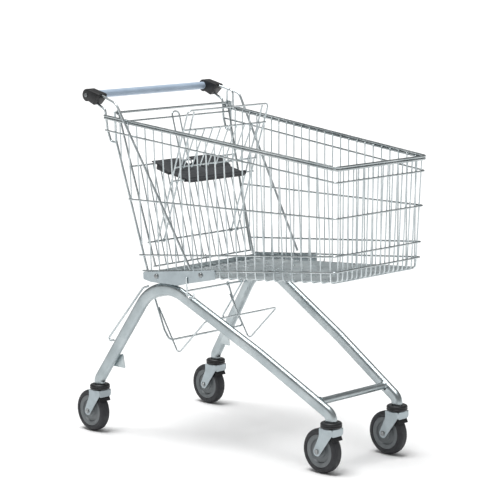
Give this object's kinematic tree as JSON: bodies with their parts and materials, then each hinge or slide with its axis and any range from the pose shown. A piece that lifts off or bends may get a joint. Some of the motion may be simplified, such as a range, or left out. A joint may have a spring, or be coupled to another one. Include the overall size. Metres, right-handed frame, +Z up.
{
  "type": "supermarket shopping trolley",
  "caption": "Wire basket shopping trolley on castors with a swinging rear flap, folding child seat and crate carrier.",
  "frame": {"origin": "on the floor under the middle of the trolley's overall box", "axes": "+X is the way the trolley is pushed, +Y is to its left, +Z is up"},
  "size_m": [1.0272, 0.5368, 1.0285],
  "materials": {
    "zinc_steel": "bright zinc plated sheet and tube",
    "zinc_wire": "bright zinc plated wire under clear lacquer",
    "bolt_steel": "zinc plated fasteners",
    "black_plastic": "fine grained black moulding",
    "handle_plastic": "blue grey sleeve, satin",
    "seat_plastic": "grained charcoal moulding",
    "wheel_plastic": "mid grey moulding",
    "tyre_rubber": "dark grey non-marking tread"
  },
  "bodies": {
    "trolley_frame": {"chassis_tube_right": "zinc_steel", "chassis_tube_left": "zinc_steel", "leg_guards": "zinc_wire", "leg_brackets": "zinc_steel", "front_cross_tube": "zinc_steel", "side_plate_right": "zinc_steel", "side_plate_left": "zinc_steel", "rear_strip": "zinc_steel", "basket_rim": "zinc_wire", "line_wires": "zinc_wire", "side_wires_right": "zinc_wire", "side_wires_left": "zinc_wire", "floor_cross_wires": "zinc_wire", "floor_long_wires": "zinc_wire", "front_wires": "zinc_wire", "rear_post_right": "zinc_wire", "rear_post_left": "zinc_wire", "handle_arm_right": "zinc_wire", "handle_arm_left": "zinc_wire", "handle_stays": "zinc_wire", "hinge_rod": "zinc_wire", "left_loop": "zinc_wire", "bag_hooks": "zinc_wire", "carrier_rod": "zinc_wire", "plate_bolts": "bolt_steel", "cap_screws": "bolt_steel", "castor_stems": "bolt_steel", "castor_rings": "black_plastic", "end_cap_right": "black_plastic", "end_cap_left": "black_plastic", "handle_tube": "handle_plastic"},
    "rear_flap": {"flap_frame": "zinc_wire", "flap_uprights": "zinc_wire", "leg_divider": "zinc_wire"},
    "backrest": {"backrest_frame": "zinc_wire", "backrest_grid": "zinc_wire"},
    "child_seat": {"seat_plate": "seat_plastic"},
    "crate_carrier": {"carrier_frame": "zinc_wire", "carrier_cradle": "zinc_wire"},
    "rear_right_castor": {"rear_right_fork": "zinc_steel", "rear_right_guard": "black_plastic", "rear_right_axle": "bolt_steel"},
    "rear_right_wheel": {"rear_right_core": "wheel_plastic", "rear_right_tyre": "tyre_rubber"},
    "rear_left_castor": {"rear_left_fork": "zinc_steel", "rear_left_guard": "black_plastic", "rear_left_axle": "bolt_steel"},
    "rear_left_wheel": {"rear_left_core": "wheel_plastic", "rear_left_tyre": "tyre_rubber"},
    "front_right_castor": {"front_right_fork": "zinc_steel", "front_right_guard": "black_plastic", "front_right_axle": "bolt_steel"},
    "front_right_wheel": {"front_right_core": "wheel_plastic", "front_right_tyre": "tyre_rubber"},
    "front_left_castor": {"front_left_fork": "zinc_steel", "front_left_guard": "black_plastic", "front_left_axle": "bolt_steel"},
    "front_left_wheel": {"front_left_core": "wheel_plastic", "front_left_tyre": "tyre_rubber"}
  },
  "joints": [
    {"name": "flap_swing", "type": "hinge", "parent": "trolley_frame", "child": "rear_flap", "pos_m": [-0.3171, 0, 0.962], "axis": [0, -1, 0], "range_deg": [0, 75]},
    {"name": "backrest_fold", "type": "hinge", "parent": "rear_flap", "child": "backrest", "pos_m": [-0.22611, 0, 0.58684], "axis": [0, -1, 0], "range_deg": [0, 30]},
    {"name": "seat_fold", "type": "hinge", "parent": "backrest", "child": "child_seat", "pos_m": [-0.15348, 0, 0.7668], "axis": [0, 1, 0], "range_deg": [0, 85.2]},
    {"name": "carrier_swing", "type": "hinge", "parent": "trolley_frame", "child": "crate_carrier", "pos_m": [-0.25954, 0, 0.41615], "axis": [0, -1, 0], "range_deg": [0, 22]},
    {"name": "rear_right_swivel", "type": "hinge", "parent": "trolley_frame", "child": "rear_right_castor", "pos_m": [-0.4171, -0.23845, 0.13], "axis": [0, 0, 1], "continuous": true},
    {"name": "rear_right_roll", "type": "hinge", "parent": "rear_right_castor", "child": "rear_right_wheel", "pos_m": [-0.4511, -0.23845, 0.0625], "axis": [0, 1, 0], "continuous": true},
    {"name": "rear_left_swivel", "type": "hinge", "parent": "trolley_frame", "child": "rear_left_castor", "pos_m": [-0.4171, 0.23845, 0.13], "axis": [0, 0, 1], "continuous": true},
    {"name": "rear_left_roll", "type": "hinge", "parent": "rear_left_castor", "child": "rear_left_wheel", "pos_m": [-0.4511, 0.23845, 0.0625], "axis": [0, 1, 0], "continuous": true},
    {"name": "front_right_swivel", "type": "hinge", "parent": "trolley_frame", "child": "front_right_castor", "pos_m": [0.4345, -0.13515, 0.13], "axis": [0, 0, 1], "continuous": true},
    {"name": "front_right_roll", "type": "hinge", "parent": "front_right_castor", "child": "front_right_wheel", "pos_m": [0.4005, -0.13515, 0.0625], "axis": [0, 1, 0], "continuous": true},
    {"name": "front_left_swivel", "type": "hinge", "parent": "trolley_frame", "child": "front_left_castor", "pos_m": [0.4345, 0.13515, 0.13], "axis": [0, 0, 1], "continuous": true},
    {"name": "front_left_roll", "type": "hinge", "parent": "front_left_castor", "child": "front_left_wheel", "pos_m": [0.4005, 0.13515, 0.0625], "axis": [0, 1, 0], "continuous": true}
  ],
  "couplings": [
    {"joint": "seat_fold", "follows": "backrest_fold", "ratio": 2.84}
  ]
}
